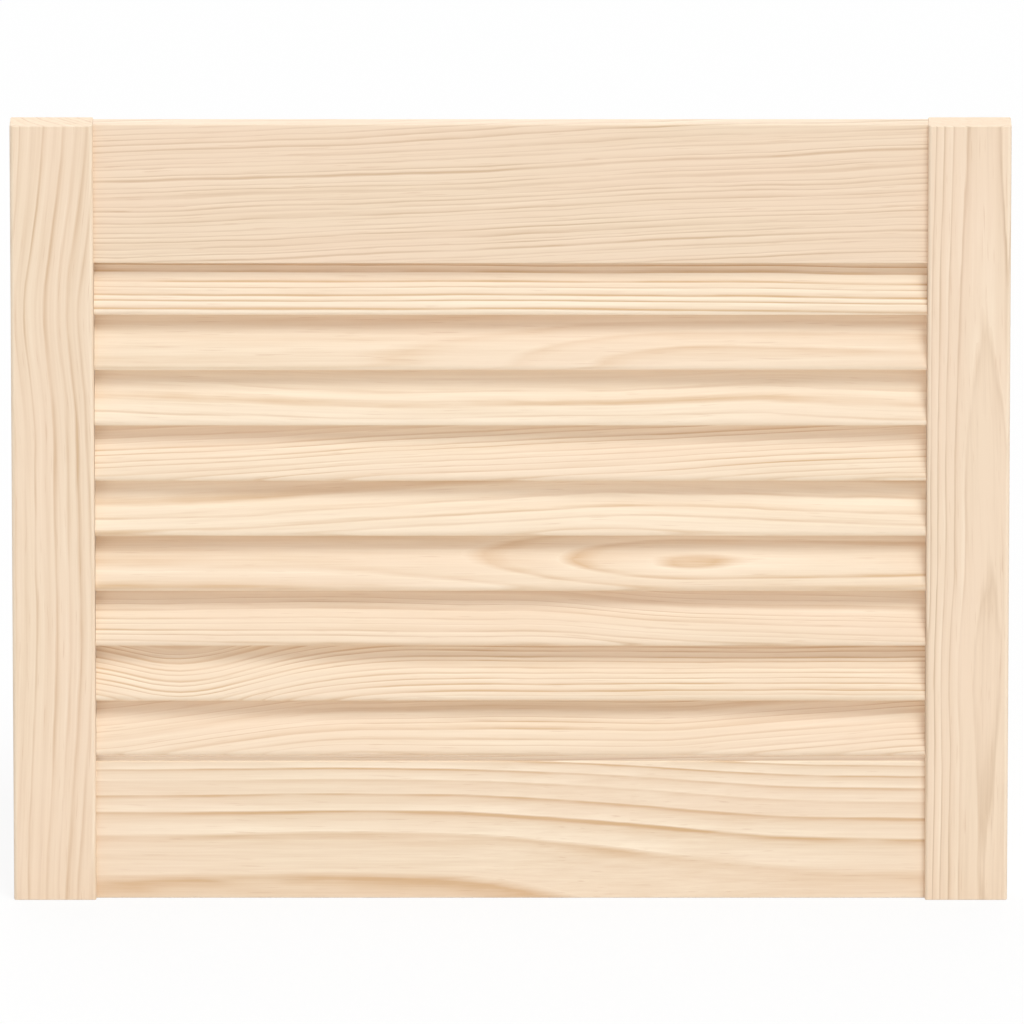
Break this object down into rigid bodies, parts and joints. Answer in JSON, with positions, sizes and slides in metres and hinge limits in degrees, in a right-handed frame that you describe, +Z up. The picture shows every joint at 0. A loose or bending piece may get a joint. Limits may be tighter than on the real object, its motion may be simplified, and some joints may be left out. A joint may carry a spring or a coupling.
{
  "type": "slatted cabinet door",
  "caption": "Slatted cabinet door in solid pine: two stiles and two set-back rails frame a row of fixed sloping slats that close the opening to view and let air through.",
  "frame": {"origin": "under the middle of the door, on the plane of its bottom edge", "axes": "+X to the right as seen from the front, +Y from the front to the back, +Z up"},
  "size_m": [0.494, 0.02, 0.395],
  "materials": {
    "pine": "unfinished, planed and sanded",
    "dowel_beech": "unfinished, turned"
  },
  "bodies": {
    "root": {"stile_left": "pine", "stile_right": "pine", "rail_top": "pine", "rail_bottom": "pine", "slat_1": "pine", "slat_2": "pine", "slat_3": "pine", "slat_4": "pine", "slat_5": "pine", "slat_6": "pine", "slat_7": "pine", "slat_8": "pine", "slat_9": "pine", "dowel_top_left_upper": "dowel_beech", "dowel_top_left_lower": "dowel_beech", "dowel_top_right_upper": "dowel_beech", "dowel_top_right_lower": "dowel_beech", "dowel_bottom_left_upper": "dowel_beech", "dowel_bottom_left_lower": "dowel_beech", "dowel_bottom_right_upper": "dowel_beech", "dowel_bottom_right_lower": "dowel_beech"}
  },
  "joints": []
}
